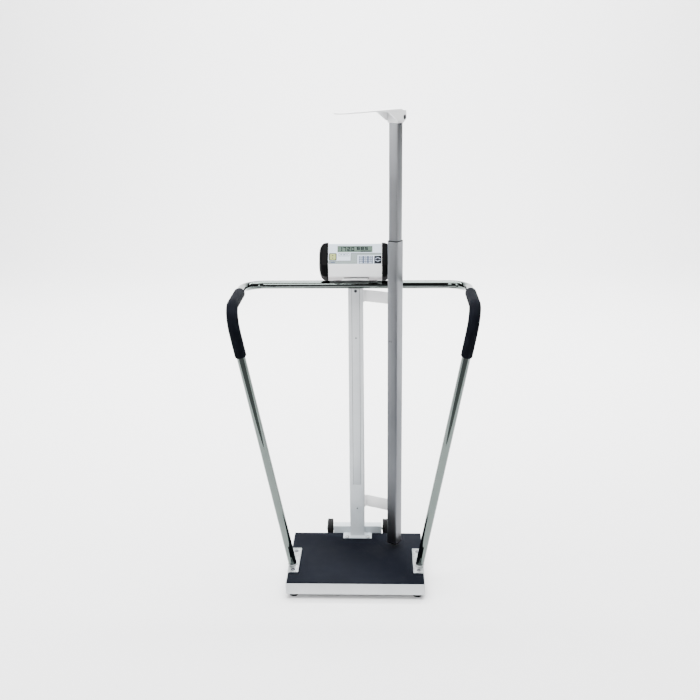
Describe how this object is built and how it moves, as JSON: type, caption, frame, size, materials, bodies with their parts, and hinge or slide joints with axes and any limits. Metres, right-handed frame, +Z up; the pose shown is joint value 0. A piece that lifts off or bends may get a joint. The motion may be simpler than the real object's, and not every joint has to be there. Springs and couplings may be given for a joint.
{
  "type": "digital handrail scale",
  "caption": "Clinic weighing scale with a matted platform, chromed handrails with foam grips, a column with a tilting digital indicator, and a telescoping height rod.",
  "frame": {"origin": "on the floor under the centre of the whole object's box, at rest", "axes": "+Z up, +Y to the rear where the column and wheels are, +X to the right as seen from the front"},
  "size_m": [0.7856, 0.4534, 1.568],
  "materials": {
    "white_paint": "semi-gloss white powder coat",
    "frame_steel": "grey primed steel",
    "mat_rubber": "fine textured matt rubber",
    "load_cell_aluminium": "machined",
    "rod_aluminium": "satin anodised, drawn lengthwise",
    "zinc": "zinc plated",
    "dark_steel": "blackened",
    "black_rubber": "matt",
    "wheel_rubber": "matt moulded",
    "foam": "closed-cell foam, matt",
    "chrome": "bright plated tube",
    "white_plastic": "fine moulded grain",
    "panel_print": "printed polyester overlay",
    "display": "reflective liquid crystal",
    "circuit_board": "solder mask",
    "black_plastic": "fine moulded grain"
  },
  "bodies": {
    "base": {"rod_outer": "rod_aluminium", "rod_bottom_cap": "black_plastic", "rod_collar": "black_plastic", "platform_cover": "white_paint", "platform_frame": "frame_steel", "rubber_mat": "mat_rubber", "junction_box": "black_plastic", "load_cell_fl": "load_cell_aluminium", "load_cell_fr": "load_cell_aluminium", "load_cell_rl": "load_cell_aluminium", "load_cell_rr": "load_cell_aluminium", "column_base": "white_paint", "column_tube": "white_paint", "column_front_strip": "white_paint", "rail_saddle": "frame_steel", "strip_screw_top": "dark_steel", "strip_screw_mid": "dark_steel", "strip_screw_low": "dark_steel", "base_screw_left": "zinc", "base_screw_right": "zinc", "handrail_tube": "chrome", "grip_left": "foam", "rail_foot_left": "zinc", "grip_right": "foam", "rail_foot_right": "zinc", "rail_bolt_left_front": "dark_steel", "rail_bolt_left_rear": "dark_steel", "rail_bolt_right_front": "dark_steel", "rail_bolt_right_rear": "dark_steel", "rod_arm_upper": "white_paint", "rod_arm_lower": "white_paint", "axle_bracket": "white_paint", "wheel_axle": "zinc", "indicator_yoke": "white_paint", "tilt_pin": "zinc"},
    "rod_inner": {"rod_inner": "rod_aluminium", "rod_guide_shoe": "black_plastic", "head_cap": "white_plastic", "cap_screw": "dark_steel", "head_hinge_pin": "dark_steel"},
    "headpiece": {"head_blade": "white_plastic"},
    "indicator": {"indicator_housing": "white_plastic", "indicator_cap_left": "black_plastic", "indicator_cap_right": "black_plastic", "keypad_panel": "panel_print", "lcd_display": "display", "main_board": "circuit_board", "battery_pack": "black_plastic", "indicator_foot_left": "black_rubber", "indicator_foot_right": "black_rubber"},
    "wheel_left": {"wheel_left": "wheel_rubber"},
    "wheel_right": {"wheel_right": "wheel_rubber"},
    "stud_fl": {"foot_stud_fl": "zinc"},
    "pad_fl": {"foot_pad_fl": "black_rubber"},
    "stud_fr": {"foot_stud_fr": "zinc"},
    "pad_fr": {"foot_pad_fr": "black_rubber"},
    "stud_rl": {"foot_stud_rl": "zinc"},
    "pad_rl": {"foot_pad_rl": "black_rubber"},
    "stud_rr": {"foot_stud_rr": "zinc"},
    "pad_rr": {"foot_pad_rr": "black_rubber"}
  },
  "joints": [
    {"name": "rod_slide", "type": "slide", "parent": "base", "child": "rod_inner", "axis": [0, 0, 1], "range_m": [-0.36, 0.52]},
    {"name": "headpiece_fold", "type": "hinge", "parent": "rod_inner", "child": "headpiece", "pos_m": [0.14017, 0.07126, 1.5417], "axis": [-0.8387, 0.5446, 0], "range_deg": [0, 90]},
    {"name": "indicator_tilt", "type": "hinge", "parent": "base", "child": "indicator", "pos_m": [0, 0.16118, 1.0313], "axis": [-1, 0, 0], "range_deg": [0, 25]},
    {"name": "wheel_left_spin", "type": "hinge", "parent": "base", "child": "wheel_left", "pos_m": [-0.101, 0.19168, 0.0565], "axis": [1, 0, 0], "continuous": true},
    {"name": "wheel_right_spin", "type": "hinge", "parent": "base", "child": "wheel_right", "pos_m": [0.101, 0.19168, 0.0565], "axis": [1, 0, 0], "continuous": true},
    {"name": "foot_fl_travel", "type": "slide", "parent": "base", "child": "stud_fl", "axis": [0, 0, -1], "range_m": [-0.004, 0.01]},
    {"name": "foot_fl_turn", "type": "hinge", "parent": "stud_fl", "child": "pad_fl", "pos_m": [-0.206, -0.17932, 0.004], "axis": [0, 0, 1], "range_deg": [-960, 2400]},
    {"name": "foot_fr_travel", "type": "slide", "parent": "base", "child": "stud_fr", "axis": [0, 0, -1], "range_m": [-0.004, 0.01]},
    {"name": "foot_fr_turn", "type": "hinge", "parent": "stud_fr", "child": "pad_fr", "pos_m": [0.206, -0.17932, 0.004], "axis": [0, 0, 1], "range_deg": [-960, 2400]},
    {"name": "foot_rl_travel", "type": "slide", "parent": "base", "child": "stud_rl", "axis": [0, 0, -1], "range_m": [-0.004, 0.01]},
    {"name": "foot_rl_turn", "type": "hinge", "parent": "stud_rl", "child": "pad_rl", "pos_m": [-0.206, 0.12468, 0.004], "axis": [0, 0, 1], "range_deg": [-960, 2400]},
    {"name": "foot_rr_travel", "type": "slide", "parent": "base", "child": "stud_rr", "axis": [0, 0, -1], "range_m": [-0.004, 0.01]},
    {"name": "foot_rr_turn", "type": "hinge", "parent": "stud_rr", "child": "pad_rr", "pos_m": [0.206, 0.12468, 0.004], "axis": [0, 0, 1], "range_deg": [-960, 2400]}
  ],
  "couplings": [
    {"joint": "foot_fl_turn", "follows": "foot_fl_travel", "rad_per_m": 4188.8},
    {"joint": "foot_fr_turn", "follows": "foot_fr_travel", "rad_per_m": 4188.8},
    {"joint": "foot_rl_turn", "follows": "foot_rl_travel", "rad_per_m": 4188.8},
    {"joint": "foot_rr_turn", "follows": "foot_rr_travel", "rad_per_m": 4188.8}
  ]
}
